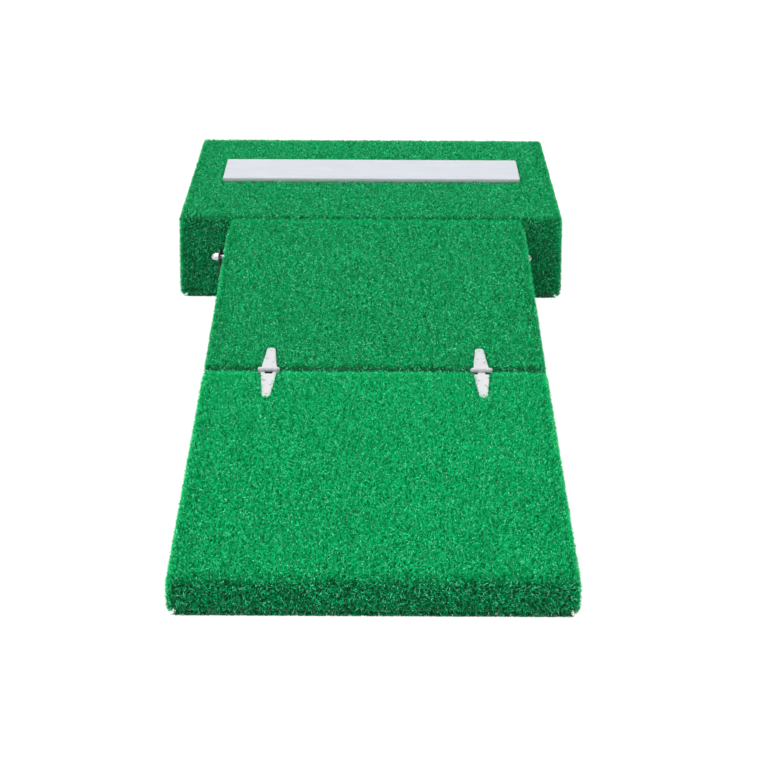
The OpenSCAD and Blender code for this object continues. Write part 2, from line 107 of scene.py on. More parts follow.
FLOOR_GAP = 0.5 * MM       # the lowest that a drooping blade may reach
FOLD_WOOD = 10 * MM        # from the pin to each section's wood
FOLD_TRIM, FOLD_ROUND = 0.4, 15 * MM   # how short the pile is at the fold, and how far it takes to grow
FOLD_FACE_TOP, FOLD_FACE_LOW = 0.17, 0.85   # the pile on the upper face inside the fold, high and deep
FOLD_DEEP = 20 * MM        # from the one to the other
FOLD_PAINTED_SHADE = 0.5            # painted shade in the crease of the fold: how much darker the pile there is made

# How much of a blade's normal points some way, for the blade to count as on that side
ON_TOP = 0.9
SQUARE_ON = 0.8            # on an end face, with little of its rounded edges
ON_FACE = 0.5
TOWARDS = 0.3
AT_ALL = 0.1
AT_HEM = -0.05             # upwards, where less than this is only along the floor
DOWNHILL = -0.05           # along Y, where less than this is the ramp's sloping top or its front lip

# ---------- room for other parts ----------

PART_MARGIN = 0.8 * MM     # round the rubber and the brackets
BRACKET_FACE_TOP = 91.5 * MM   # of a bracket's flange on the box, over the floor
BRACKET_ROOM = 2 * MM      # from this far in front of a bracket on, the ramp's side pile is short
BOLT_ROOM = 7 * MM         # round a pivot bolt
# Hinge leaf outline, as half widths and lengths from the pin
BARREL_HALF, BARREL_REACH = 17.6 * MM, 6 * MM
LEAF_ROOT_HALF, LEAF_TIP_HALF, LEAF_L = 14.2 * MM, 7.7 * MM, 96.8 * MM
LEAF_DEPTH = 30 * MM       # blades lower than this under the pins aren't under a leaf

# ---------- the rubber's moulding ----------

RUBBER_CORNER_R = 4 * MM   # of its upright edges
RUBBER_EDGE_R = 3 * MM     # of its top edges
RUBBER_DIP = 0.5 * MM      # how far the middle of its top is sunk
RUBBER_DIP_FADE = 0.4      # how much less that is at its ends
RUBBER_TOP_T = 0.1 * MM    # what is lower than this under its top belongs to a rounded edge
RUBBER_CELLS = (24, 10)    # its top is cut into this many cells, for the dip


# ---------- materials ----------

class Tree:
    """A material's nodes, with short calls for adding and linking them."""

    def __init__(self, name):
        self.material = bpy.data.materials.new(name)
        self.material.use_nodes = True
        self.nodes = self.material.node_tree.nodes
        self.links = self.material.node_tree.links
        self.shader = self.nodes["Principled BSDF"]

    def put(self, target, value):
        """Links a node's output into a socket, or sets the socket's own value."""
        if isinstance(value, bpy.types.NodeSocket):
            self.links.new(value, target)
        else:
            target.default_value = value

    def add(self, kind, output=0, settings=None, **inputs):
        node = self.nodes.new(kind)
        for key, value in (settings or {}).items():
            setattr(node, key, value)
        for key, value in inputs.items():
            self.put(node.inputs[int(key[1:]) if key[1:].isdigit() else key.replace("_", " ")], value)
        return node.outputs[output]

    def math(self, operation, a, b=0.0):
        return self.add("ShaderNodeMath", settings={"operation": operation}, _0=a, _1=b)

    def place(self, scale=(1, 1, 1)):
        """The row frame's coordinates, stretched."""
        source = self.add("ShaderNodeTexCoord", output=3)
        return self.add("ShaderNodeMapping", Vector=source, Scale=scale)

    def noise(self, scale, detail=3.0, stretch=(1, 1, 1)):
        return self.add("ShaderNodeTexNoise", Vector=self.place(stretch), Scale=scale, Detail=detail)

    def ramp(self, value, stops):
        node = self.nodes.new("ShaderNodeValToRGB")
        elements = node.color_ramp.elements
        while len(elements) < len(stops):
            elements.new(0.5)
        for element, (position, colour) in zip(elements, stops):
            element.position = position
            element.color = (*colour, 1)
        self.links.new(value, node.inputs[0])
        return node.outputs[0]

    def grey(self, value, low, high):
        """A value from 0 to 1, mapped to low..high."""
        return self.add("ShaderNodeMapRange", Value=value, To_Min=low, To_Max=high)

    def mix(self, a, b, factor, blend="MIX"):
        node = self.nodes.new("ShaderNodeMix")
        node.data_type = "RGBA"
        node.blend_type = blend
        self.put(node.inputs[0], factor)
        self.put(node.inputs[6], a)
        self.put(node.inputs[7], b)
        return node.outputs[2]

    def bump(self, height, strength, distance):
        return self.add("ShaderNodeBump", Height=height, Strength=strength, Distance=distance)

    def finish(self, **sockets):
        for key, value in sockets.items():
            self.put(self.shader.inputs[key.replace("_", " ")], value)
        return self.material


def grey3(value):
    return (value, value, value)


def pile_material():
    t = Tree("turf_pile")
    tone = t.add("ShaderNodeAttribute", output=2, settings={"attribute_name": "tone"})
    tip = t.add("ShaderNodeAttribute", output=2, settings={"attribute_name": "tip"})
    fibre = t.ramp(tone, [(0.0, (0.001, 0.2, 0.06)), (0.25, (0.001, 0.5, 0.15)),
                          (0.5, (0.001, 0.74, 0.23)), (0.8, (0.004, 0.9, 0.31)),
                          (0.94, (0.02, 0.96, 0.38))])
    # Painted shade: each blade is made darker towards its root, deep in the pile where shade falls.
    depth = t.ramp(tip, [(0.0, grey3(0.3)), (0.5, grey3(0.58)), (0.85, grey3(1.0))])
    patches = t.ramp(t.noise(9, 4), [(0.3, grey3(0.93)), (0.7, grey3(1.0))])
    colour = t.mix(t.mix(fibre, depth, 1.0, "MULTIPLY"), patches, 1.0, "MULTIPLY")
    # Painted highlights: the pale blades' tips are made a whitish green, as if catching the light.
    painted_glint = t.math("MULTIPLY", t.math("GREATER_THAN", tone, PALE_TONE), t.math("GREATER_THAN", tip, 0.8))
    colour = t.mix(colour, (0.3, 1.0, 0.62, 1), painted_glint)
    return t.finish(Base_Color=colour, Roughness=t.grey(tone, 0.6, 0.42), Specular_IOR_Level=0.1)


def backing_material():
    t = Tree("turf_backing")
    weave = t.noise(900, 2)
    colour = t.ramp(weave, [(0.35, (0.004, 0.035, 0.014)), (0.65, (0.008, 0.075, 0.03))])
    under = t.ramp(t.noise(260, 4), [(0.4, (0.018, 0.013, 0.011)), (0.7, (0.05, 0.038, 0.032))])
    height = t.add("ShaderNodeSeparateXYZ", output=2, _0=t.place())
    near_hem = t.math("LESS_THAN", height, BACKING_EDGE_H)
    return t.finish(Base_Color=t.mix(colour, under, near_hem), Roughness=t.grey(weave, 0.8, 0.95),
                    Normal=t.bump(weave, 0.6, 0.6 * MM))


def plywood_material(name, along, through):
    """Birch plywood. along and through are the axes of its grain and of its thickness."""
    t = Tree(name)
    ply_t = 1.5 * MM
    stretch = [1.0, 1.0, 1.0]
    stretch[along] = 0.06
    grain = t.noise(130, 6, stretch)
    broad = t.noise(14, 3, stretch)
    face = t.ramp(grain, [(0.25, (0.47, 0.31, 0.16)), (0.55, (0.66, 0.49, 0.29)),
                          (0.8, (0.73, 0.57, 0.37))])
    face = t.mix(face, t.ramp(broad, [(0.3, grey3(0.86)), (0.7, grey3(1.0))]), 1.0, "MULTIPLY")
    depth = t.add("ShaderNodeSeparateXYZ", output=through, _0=t.place())
    layer = t.math("DIVIDE", t.math("PINGPONG", depth, ply_t), ply_t)
    plies = t.ramp(layer, [(0.42, (0.4, 0.25, 0.12)), (0.58, (0.74, 0.58, 0.38))])
    normal = t.add("ShaderNodeNewGeometry", output=1)
    facing = t.math("ABSOLUTE", t.add("ShaderNodeSeparateXYZ", output=through, _0=normal))
    edge = t.math("LESS_THAN", facing, 0.5)
    return t.finish(Base_Color=t.mix(face, plies, edge), Roughness=t.grey(grain, 0.5, 0.72),
                    Normal=t.bump(grain, 0.35, 0.4 * MM))


def rubber_material():
    t = Tree("moulded_white_rubber")
    lines = t.noise(260, 2, (0.03, 1, 1))
    scuffs = t.noise(38, 6, (0.5, 1.6, 1))
    colour = t.ramp(scuffs, [(0.3, (0.44, 0.46, 0.5)), (0.62, (0.48, 0.498, 0.538))])
    colour = t.mix(colour, t.ramp(lines, [(0.35, grey3(0.955)), (0.6, grey3(1.0))]), 1.0, "MULTIPLY")
    return t.finish(Base_Color=colour, Roughness=t.grey(scuffs, 0.42, 0.6),
                    Normal=t.bump(lines, 0.25, 0.25 * MM))


def strip_material():
    t = Tree("ribbed_black_rubber")
    ribs = t.add("ShaderNodeTexWave", output=1, Vector=t.place(), Scale=110.0, Distortion=0.3)
    dust = t.noise(60, 5)
    colour = t.ramp(dust, [(0.4, grey3(0.012)), (0.75, (0.05, 0.045, 0.04))])
    return t.finish(Base_Color=colour, Roughness=t.grey(dust, 0.7, 0.92),
                    Normal=t.bump(ribs, 0.5, 0.5 * MM))


def metal_material(name, dark, light, roughness, metallic, grain=700.0):
    """Plated or coated steel: a fine spangle in its colour and bump, and wear in its roughness."""
    t = Tree(name)
    spangle = t.noise(grain, 4)
    handling = t.noise(45, 5)
    colour = t.mix(t.ramp(spangle, [(0.35, dark), (0.65, light)]),
                   t.ramp(handling, [(0.3, grey3(0.93)), (0.65, grey3(1.0))]), 1.0, "MULTIPLY")
    return t.finish(Base_Color=colour, Metallic=metallic, Roughness=t.grey(handling, *roughness),
                    Normal=t.bump(spangle, 0.2, 0.06 * MM))


PILE = pile_material()
BACKING = backing_material()
RUBBER = rubber_material()
STRIP = strip_material()
HINGE = metal_material("bright_zinc_hinge", (0.42, 0.425, 0.44), (0.53, 0.535, 0.55),
                       roughness=(0.5, 0.62), metallic=0.2)
ZINC = metal_material("zinc_fastener", (0.5, 0.51, 0.53), (0.64, 0.65, 0.66),
                      roughness=(0.3, 0.45), metallic=0.85)
BLACK = metal_material("black_powder_coat", grey3(0.008), grey3(0.016),
                       roughness=(0.38, 0.55), metallic=0.0, grain=1400.0)
PLY_DECK = plywood_material("plywood_deck", along=1, through=2)
PLY_ALONG = plywood_material("plywood_long_board", along=1, through=0)
PLY_ACROSS = plywood_material("plywood_cross_board", along=0, through=1)


def material_for(name):
    if name.endswith("deck"):
        return PLY_DECK
    if name.endswith(("front_board", "rear_board")):
        return PLY_ACROSS
    if name.endswith(("rail", "joist", "board")):
        return PLY_ALONG
    if name.endswith("strip"):
        return STRIP
    if name.endswith("bracket"):
        return BLACK
    if name.endswith("leaf") or name in ("hinge_pins", "upper_hinge_screws", "lower_hinge_screws"):
        return HINGE
    return ZINC


# ---------- CAD nodes that stay ----------

BEVEL_MM = {PLY_DECK: 0.6, PLY_ALONG: 0.6, PLY_ACROSS: 0.6, STRIP: 0.4, BLACK: 0.5, HINGE: 0.22, ZINC: 0.12}
SHARP = math.radians(40)   # edges that turn by more than this get a bevel


def dress(name):
    """The node's material, and a small bevel that catches the light on its edges."""
    node = nodes[name]
    material = material_for(name)
    node.data.materials.clear()
    node.data.materials.append(material)
    weld = node.modifiers.new("weld", "WELD")
    weld.merge_threshold = WELD
    bevel = node.modifiers.new("bevel", "BEVEL")
    bevel.width = BEVEL_MM[material] * MM
    bevel.segments = 2
    bevel.limit_method = "ANGLE"
    bevel.angle_limit = SHARP


replaced = ("box_turf", "upper_turf", "lower_turf", "pitching_rubber")
for node_name in nodes:
    if node_name not in replaced:
        dress(node_name)


# ---------- turf pile ----------

def tangents(normals):
    """Two directions across each normal."""
    helper = np.where(np.abs(normals[:, 2:3]) < 0.9, [[0.0, 0.0, 1.0]], [[1.0, 0.0, 0.0]])
    u = np.cross(helper, normals)
    u /= np.linalg.norm(u, axis=1)[:, None]
    return u, np.cross(normals, u)


def on_face(corners, normal, rng):
    """Jittered grid points on a flat convex polygon."""
    corners = np.array(corners)
    u = corners[1] - corners[0]
    u = u / np.linalg.norm(u)
    v = np.cross(normal, u)
    flat = (corners - corners[0]) @ np.stack([u, v], 1)
    low, high = flat.min(0), flat.max(0)
    counts = np.maximum(1, np.round((high - low) / SPACING)).astype(int)
    grid = np.stack(np.meshgrid(*[np.arange(c) for c in counts], indexing="ij"), -1).reshape(-1, 2)
    points = low + (grid + rng.uniform(0, 1, grid.shape)) * (high - low) / counts
    inside = np.ones(len(points), bool)
    turn = np.sign(np.cross(flat[1] - flat[0], flat[2] - flat[1]))
    for a, b in zip(flat, np.roll(flat, -1, 0)):
        side = (b[0] - a[0]) * (points[:, 1] - a[1]) - (b[1] - a[1]) * (points[:, 0] - a[0])
        inside &= side * turn >= 0
    points = points[inside]
    place = corners[0] + points[:, :1] * u + points[:, 1:] * v
    return place, np.repeat([np.array(normal, float)], len(place), 0)


def on_edge(a, b, n1, n2, rng, density=1.0):
    """Points along an edge, whose normals fan from one face's to the other's."""
    a, b, n1, n2 = (np.array(x, float) for x in (a, b, n1, n2))
    angle = math.acos(float(np.clip(n1 @ n2, -1, 1)))
    count = int(np.linalg.norm(b - a) * FAN_R * angle * density / SPACING ** 2)
    along = (np.arange(count) + rng.uniform(0, 1, count)) / count
    turn = rng.uniform(0, 1, count)
    from_n1, from_n2 = np.sin((1 - turn) * angle), np.sin(turn * angle)
    normals = (from_n1[:, None] * n1 + from_n2[:, None] * n2) / math.sin(angle)
    return a + along[:, None] * (b - a), normals


def on_corner(p, n1, n2, n3, rng):
    """Points at a corner, whose normals cover the part of a sphere between three faces."""
    count = int(0.5 * math.pi * FAN_R ** 2 / SPACING ** 2)
    share = np.abs(rng.normal(0, 1, (count, 3)))
    normals = share @ np.array([n1, n2, n3], float)
    normals /= np.linalg.norm(normals, axis=1)[:, None]
    return np.repeat([np.array(p, float)], count, 0), normals


def cover(node):
    """The turf's ends, sides, and the lines of its top and bottom, read from its CAD solid."""
    points = np.array([v.co for v in nodes[node].data.vertices])
    low, high = points.min(0), points.max(0)
    ends = []
    at_end = 0.02 * MM
    for y in (low[1], high[1]):
        z = points[np.abs(points[:, 1] - y) < at_end, 2]
        ends.append((z.min(), z.max()))
    slope = (ends[1][1] - ends[0][1]) / (high[1] - low[1])
    rise = (ends[1][0] - ends[0][0]) / (high[1] - low[1])
    return {"low": low, "high": high, "tilt": math.atan(slope),
            "top": lambda y: ends[0][1] + (y - low[1]) * slope,
            "bottom": lambda y: ends[0][0] + (y - low[1]) * rise}


def roots_on(c, rng):
    """Places and normals of the blades all over a cover, on the wood under it."""
    x0, x1 = c["low"][0] + TURF_T, c["high"][0] - TURF_T
    y0, y1 = c["low"][1] + TURF_T, c["high"][1] - TURF_T
    sink = TURF_T / math.cos(c["tilt"])
    up = (0, -math.sin(c["tilt"]), math.cos(c["tilt"]))
    left, right, front, rear = (-1, 0, 0), (1, 0, 0), (0, -1, 0), (0, 1, 0)

    def at(x, y, top):
        return (x, y, c["top"](y) - sink if top else c["bottom"](y))

    found = [on_face([at(x0, y0, 1), at(x1, y0, 1), at(x1, y1, 1), at(x0, y1, 1)], up, rng)]
    for x, side in ((x0, left), (x1, right)):
        found.append(on_face([at(x, y0, 0), at(x, y1, 0), at(x, y1, 1), at(x, y0, 1)], side, rng))
        found.append(on_edge(at(x, y0, 1), at(x, y1, 1), up, side, rng))
        for y, end in ((y0, front), (y1, rear)):
            found.append(on_edge(at(x, y, 0), at(x, y, 1), side, end, rng))
            found.append(on_corner(at(x, y, 1), up, side, end, rng))
        down = (side[0] * HEM_OUT, 0, -HEM_DOWN)
        found.append(on_edge(at(x, y0, 0), at(x, y1, 0), side, down, rng, HEM_DENSITY))
    for y, end in ((y0, front), (y1, rear)):
        found.append(on_face([at(x0, y, 0), at(x1, y, 0), at(x1, y, 1), at(x0, y, 1)], end, rng))
        found.append(on_edge(at(x0, y, 1), at(x1, y, 1), up, end, rng))
        down = (0, end[1] * HEM_OUT, -HEM_DOWN)
        hem = [np.array(at(x, y, 0)) + (0, end[1] * HEM_SPREAD, 0)
               for x in (x0 + HEM_ENDS, x1 - HEM_ENDS)]
        found.append(on_edge(*hem, end, down, rng, HEM_DENSITY))
    return np.concatenate([f[0] for f in found]), np.concatenate([f[1] for f in found])


def blades(roots, normals, heights, rng):
    """Curled ribbons. Each rises from its root, bends over sideways and turns as it goes."""
    count = len(roots)
    u, v = tangents(normals)
    azimuth = rng.uniform(0, 2 * math.pi, count)
    twist = rng.normal(0, 1.0, count)
    lean = rng.uniform(0.0, 0.5, count)
    bend = rng.uniform(0.6, 2.2, count)
    lengths = BLADE_L * rng.uniform(0.85, 1.15, count)
    roll = rng.uniform(-1.0, 1.0, count)
    widths = rng.uniform(0.8, 1.25, count)
    middle = (RINGS[1:] + RINGS[:-1]) / 2
    place = np.zeros((count, len(RINGS), 3))
    ways = np.zeros((count, len(RINGS), 3))
    for k, s in enumerate(middle):
        tilt = lean + bend * s ** 1.5
        turn = azimuth + twist * s
        across = np.cos(turn)[:, None] * u + np.sin(turn)[:, None] * v
        way = np.cos(tilt)[:, None] * normals + np.sin(tilt)[:, None] * across
        place[:, k + 1] = place[:, k] + way * (lengths * (RINGS[k + 1] - RINGS[k]))[:, None]
        ways[:, k] = way
    ways[:, -1] = ways[:, -2]
    rise = np.einsum("nkj,nj->nk", place, normals)
    scale = heights / rise.max(1)
    place += (rise * (scale - 1)[:, None])[:, :, None] * normals[:, None, :]
    flat = -np.sin(azimuth)[:, None] * u + np.cos(azimuth)[:, None] * v
    side = flat[:, None, :] * np.cos(roll)[:, None, None]
    side = side + np.cross(ways, flat[:, None, :]) * np.sin(roll)[:, None, None]
    side = side * (RING_WIDTHS[None, :] * widths[:, None] / 2)[:, :, None]
    centre = roots[:, None, :] + place
    return np.stack([centre - side, centre + side], 2).reshape(count, -1, 3)


def ribbon_mesh(name, points, tone, tips):
    """One mesh of separate ribbons, with each blade's tone and each ring's place along it."""
    count, per_blade = points.shape[:2]
    quads = np.array([[2 * k, 2 * k + 1, 2 * k + 3, 2 * k + 2] for k in range(len(RINGS) - 1)])
    faces = (np.arange(count)[:, None, None] * per_blade + quads).reshape(-1, 4)
    mesh = bpy.data.meshes.new(name)
    mesh.vertices.add(count * per_blade)
    mesh.vertices.foreach_set("co", points.astype(np.float32).ravel())
    mesh.loops.add(faces.size)
    mesh.loops.foreach_set("vertex_index", faces.astype(np.int32).ravel())
    mesh.polygons.add(len(faces))
    mesh.polygons.foreach_set("loop_start", (np.arange(len(faces)) * 4).astype(np.int32))
    mesh.update(calc_edges=True)
    mesh.shade_smooth()
    for key, values in (("tone", np.repeat(tone, per_blade)), ("tip", tips.ravel())):
        attribute = mesh.attributes.new(key, "FLOAT", "POINT")
        attribute.data.foreach_set("value", values.astype(np.float32))
    mesh.materials.append(PILE)
    return mesh


def outwards(c, roots, normals):
    """How near each root is to the cover's edges, from 0 to 1, as a vector out over them.

    At the hem it points down."""
    low = np.array([c["low"][0], c["low"][1], 0]) + TURF_T
    high = np.array([c["high"][0], c["high"][1], 0]) - TURF_T
    across = np.abs(normals) < ON_FACE
    out = np.clip(1 - (high - roots) / SPLAY_W, 0, 1) - np.clip(1 - (roots - low) / SPLAY_W, 0, 1)
    sink = TURF_T / math.cos(c["tilt"])
    out[:, 2] = np.clip(1 - (c["top"](roots[:, 1]) - sink - roots[:, 2]) / SPLAY_W, 0, 1)
    over_hem = (roots[:, 2] - c["bottom"](roots[:, 1])) / HEM_H
    out[:, 2] -= np.clip(1 - over_hem, 0, 1)
    return out * across


def tufted(roots, rng):
    """A value from 0 to 1 for each blade, part of it shared by the blades of a tuft."""
    cells = np.floor(roots / TUFT_W).astype(np.int64)
    tuft = (cells @ TUFT_STEPS) % TUFT_TONES
    shared = rng.beta(*TUFT_SPREAD, TUFT_TONES)[tuft]
    return TUFT_SHARE * shared + (1 - TUFT_SHARE) * rng.beta(*BLADE_SPREAD, len(roots))


def grow_pile(label, body, c, seed, keep, growth, painted_section_shade):
    """The pile of one cover, split into pieces that each ride on its body."""
    rng = np.random.default_rng(seed)
    roots, normals = roots_on(c, rng)
    kept = keep(roots, normals)
    roots, normals = roots[kept], normals[kept]
    heights = PILE_H * rng.uniform(*HEIGHT_SPREAD, len(roots))
    at_hem = normals[:, 2] < AT_HEM
    heights = np.where(at_hem, PILE_H, heights)
    longer, painted_shade = growth(roots, normals)
    out = outwards(c, roots, normals)
    ways = normals + SPLAY * out
    ways /= np.linalg.norm(ways, axis=1)[:, None]
    points = blades(roots + normals * BACKING_T * ROOT_SHARE, ways, heights * longer, rng)
    # Painted light and shade: lighter towards rear edges, which face the light, and darker towards front
    # edges.
    painted_edge_light = EDGE_PAINTED_LIGHT * np.where(normals[:, 2] > AT_ALL, out[:, 1] + normals[:, 1], 0)
    # Painted light and shade go into the tone: the section's, the edges', and the face and fold shade from
    # the growth function, besides the blades' random tones.
    tone = TONE_LOW + TONE_RANGE * tufted(roots, rng) + painted_section_shade + painted_edge_light - painted_shade - HEM_DARK * at_hem
    tone = np.clip(tone, 0, PALE_TONE - 0.01)
    # Some blades get painted highlights at their tips.
    painted_glint_share = np.where(np.abs(normals[:, 2]) < ON_FACE, SIDE_PALE_SHARE, PALE_SHARE) * ~at_hem
    tone = np.where(rng.uniform(0, 1, len(roots)) < painted_glint_share, 1.0, tone)
    tips = np.repeat(np.repeat(RINGS, 2)[None], len(roots), 0)
    points[..., 2] = np.maximum(points[..., 2], FLOOR_GAP)
    pieces = []
    # Pieces are strips across the mound: by Y in whole millimetres, and by X within one
    order = np.argsort(np.round(roots[:, 1], 3) + roots[:, 0] * 1e-6, kind="stable")
    for k, chunk in enumerate(np.array_split(order, math.ceil(len(order) / BLADES_PER_PIECE))):
        mesh = ribbon_mesh(f"{label}_pile_{k + 1}", points[chunk], tone[chunk], tips[chunk])
        piece = bpy.data.objects.new(mesh.name, mesh)
        bpy.context.scene.collection.objects.link(piece)
        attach(piece, body)
        pieces.append(piece)
    return pieces


# ---------- turf backing ----------

def backing(node, label, body, c):
    """A thin shell on the wood: the CAD turf's own mesh, drawn in towards the wood that it covers."""
    piece = bpy.data.objects.new(label + "_backing", nodes[node].data.copy())
    bpy.context.scene.collection.objects.link(piece)
    mesh = bmesh.new()
    mesh.from_mesh(piece.data)
    bmesh.ops.remove_doubles(mesh, verts=mesh.verts, dist=WELD)
    sink = TURF_T / math.cos(c["tilt"])
    for vertex in mesh.verts:
        p = vertex.co
        on_wood = Vector((min(max(p.x, c["low"][0] + TURF_T), c["high"][0] - TURF_T),
                          min(max(p.y, c["low"][1] + TURF_T), c["high"][1] - TURF_T), p.z))
        on_wood.z = min(p.z, c["top"](on_wood.y) - sink)
        vertex.co = on_wood + (p - on_wood) * (BACKING_T / TURF_T)
    bmesh.ops.dissolve_degenerate(mesh, edges=mesh.edges, dist=WELD)
    mesh.to_mesh(piece.data)
    mesh.free()
    piece.data.materials.clear()
    piece.data.materials.append(BACKING)
    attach(piece, body)
    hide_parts(node)
    return piece


def flat_cut(c, hole=0.0):
    """(width, length) of the cut piece that wraps this cover's top and sides, and the area it covers."""
    width, length = c["high"][0] - c["low"][0], c["high"][1] - c["low"][1]
    front = c["top"](c["low"][1]) - c["bottom"](c["low"][1])
    rear = c["top"](c["high"][1]) - c["bottom"](c["high"][1])
    top_length = length / math.cos(c["tilt"])
    area = width * (top_length + front + rear) + length * (front + rear) - hole
    return (width + 2 * max(front, rear), top_length + front + rear), area


# ---------- the three covers ----------

def joint_at(name):
    """Y and Z of a joint's axis."""
    return next(j for j in frame["joints"] if j["name"] == name)["pos_m"][1:]


def middle_x(node):
    low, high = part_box(node)
    return (low.x + high.x) / 2


rubber_low, rubber_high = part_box("pitching_rubber")
pin_y, pin_z = joint_at("ramp_fold")
pivot_y, pivot_z = joint_at("ramp_tilt")
hinge_xs = [middle_x(side + "_hinge_upper_leaf") for side in ("left", "right")]
bracket_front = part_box("left_bracket")[0].y - BRACKET_ROOM


def by_rubber(roots, normals, edge):
    """Which blades of the box's top stand under the rubber, or nearer to it than edge."""
    near = (roots[:, 0] > rubber_low.x - edge) & (roots[:, 0] < rubber_high.x + edge)
    near &= (roots[:, 1] > rubber_low.y - edge) & (roots[:, 1] < rubber_high.y + edge)
    return near & (normals[:, 2] > ON_TOP)


def off_box(roots, normals):
    """Which blades to keep: not those under the rubber and under the brackets' face flanges."""
    under = by_rubber(roots, normals, PART_MARGIN)
    for side in ("left", "right"):
        low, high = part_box(side + "_bracket")
        behind = (roots[:, 0] > low.x - PART_MARGIN) & (roots[:, 0] < high.x + PART_MARGIN)
        behind &= (roots[:, 2] > low.z - PART_MARGIN) & (roots[:, 2] < BRACKET_FACE_TOP + PART_MARGIN)
        under |= behind & (normals[:, 1] < -ON_FACE)
    return ~under


def off_hinges(roots, normals):
    """Which blades to keep: not those under the hinge leaves and round the pivot bolts."""
    along = np.abs(roots[:, 1] - pin_y)
    under = np.zeros(len(roots), bool)
    for x in hinge_xs:
        across = np.abs(roots[:, 0] - x)
        taper = LEAF_ROOT_HALF + (LEAF_TIP_HALF - LEAF_ROOT_HALF) * along / LEAF_L
        leaf = (across < taper) & (along < LEAF_L - LEAF_TIP_HALF)
        past = along - (LEAF_L - LEAF_TIP_HALF)
        leaf |= (past >= 0) & (across ** 2 + past ** 2 < LEAF_TIP_HALF ** 2)
        leaf |= (across < BARREL_HALF) & (along < BARREL_REACH + TURF_T)
        under |= leaf & (roots[:, 2] > pin_z - LEAF_DEPTH)
    bolt = (roots[:, 1] - pivot_y) ** 2 + (roots[:, 2] - pivot_z) ** 2 < BOLT_ROOM ** 2
    return ~under & ~(bolt & (np.abs(normals[:, 0]) > ON_FACE))


def at_edges(growth, roots, normals, crest_pile=REAR_CREST):
    """Longer out along the floor at front and rear, and up over a rear edge; short at the sides' foot."""
    along_floor = (normals[:, 2] < AT_HEM) & (np.abs(normals[:, 1]) > TOWARDS)
    growth = np.where(along_floor, growth * HEM_GROWTH, growth)
    foot = np.clip(roots[:, 2] / HEM_H, 0, 1)
    beside = np.abs(normals[:, 0]) > TOWARDS
    growth = np.where(beside, growth * (HEM_TUCK + (1 - HEM_TUCK) * foot), growth)
    crest = (normals[:, 1] > AT_ALL) & (normals[:, 2] > AT_ALL)
    return np.where(crest, crest_pile, growth)


def on_box(roots, normals):
    """The sides' pile is longer than the top's, most of all at the floor."""
    skirt = BOX_SIDE_PILE + SKIRT_MORE * np.clip(1 - roots[:, 2] / SKIRT_H, 0, 1)
    growth = at_edges(np.where(normals[:, 2] < ON_TOP, skirt, 1.0), roots, normals, crest_pile=1.0)
    growth = np.where(by_rubber(roots, normals, RUBBER_LAP), RUBBER_HUG, growth)
    up = np.clip(roots[:, 2] / SKIRT_H, 0, 1) ** 3
    # Painted shade on the front face, which faces away from the light, with less of it near the top edge.
    return growth, np.where(normals[:, 1] < -TOWARDS, BOX_FACE_PAINTED_SHADE - BOX_FACE_TOP * up, 0.0)


def on_lower(roots, normals):
    """Long on the sloping top and the front lip, a little less down the sides, and short in the fold."""
    in_fold = normals[:, 1] > SQUARE_ON
    growth = np.where((normals[:, 2] < ON_TOP) & ~in_fold, LOWER_SIDE_PILE, 1.0)
    growth = np.where(normals[:, 1] < DOWNHILL, LOWER_PILE, growth)
    growth = np.where(in_fold, growth, at_edges(growth, roots, normals))
    # Painted shade on the front lip, which faces away from the light.
    return growth, LIP_PAINTED_SHADE * (normals[:, 1] < -ON_FACE)


def on_upper(roots, normals):
    """Longer down the sides towards the box, short where it is close to it, and trimmed at the fold."""
    up_ramp = np.clip((roots[:, 1] - pin_y) / (pivot_y - pin_y), 0, 1)
    growth = np.where(normals[:, 2] < ON_TOP, UPPER_SIDE_PILE + UPPER_MORE * up_ramp, 1.0)
    growth = at_edges(growth, roots, normals)
    near_box = (np.abs(normals[:, 0]) > ON_FACE) & (roots[:, 1] > bracket_front)
    near_box |= normals[:, 1] > SQUARE_ON
    growth = np.where(near_box, np.minimum(growth, REAR_FACE_PILE), growth)
    from_fold = np.clip((roots[:, 1] - pin_y - FOLD_WOOD) / FOLD_ROUND, 0, 1)
    growth *= FOLD_TRIM + (1 - FOLD_TRIM) * from_fold
    deep = np.clip((pin_z - TURF_T - roots[:, 2]) / FOLD_DEEP, 0, 1)
    inside = FOLD_FACE_TOP + (FOLD_FACE_LOW - FOLD_FACE_TOP) * deep
    growth = np.where(normals[:, 1] < -ON_FACE, inside, growth)
    # Painted shade in the crease of the fold, fading out away from the pin and deeper down the face.
    return growth, FOLD_PAINTED_SHADE * (1 - from_fold) * (1 - deep)


def turf(label, body, seed, keep, growth, painted_section_shade, hole=0.0):
    """One section's cover: its backing and its pile, and the size and area of the flat piece that wraps its
    wood.
    """
    shape = cover(label + "_turf")
    sheet = backing(label + "_turf", label, body, shape)
    pile = grow_pile(label, body, shape, seed, keep, growth, painted_section_shade)
    flat, area = flat_cut(shape, hole)


# The shade given to each section is painted light and shade: each section's pile is made darker or lighter
# as a whole, standing in for how the light falls on it.
turf("box", "box", seed=11, keep=off_box, growth=on_box, painted_section_shade=-0.26,
     hole=(rubber_high.x - rubber_low.x) * (rubber_high.y - rubber_low.y))
turf("upper", "upper_section", seed=22, keep=off_hinges, growth=on_upper, painted_section_shade=-0.21)
turf("lower", "lower_section", seed=33, keep=off_hinges, growth=on_lower, painted_section_shade=-0.05)


# ---------- pitching rubber ----------

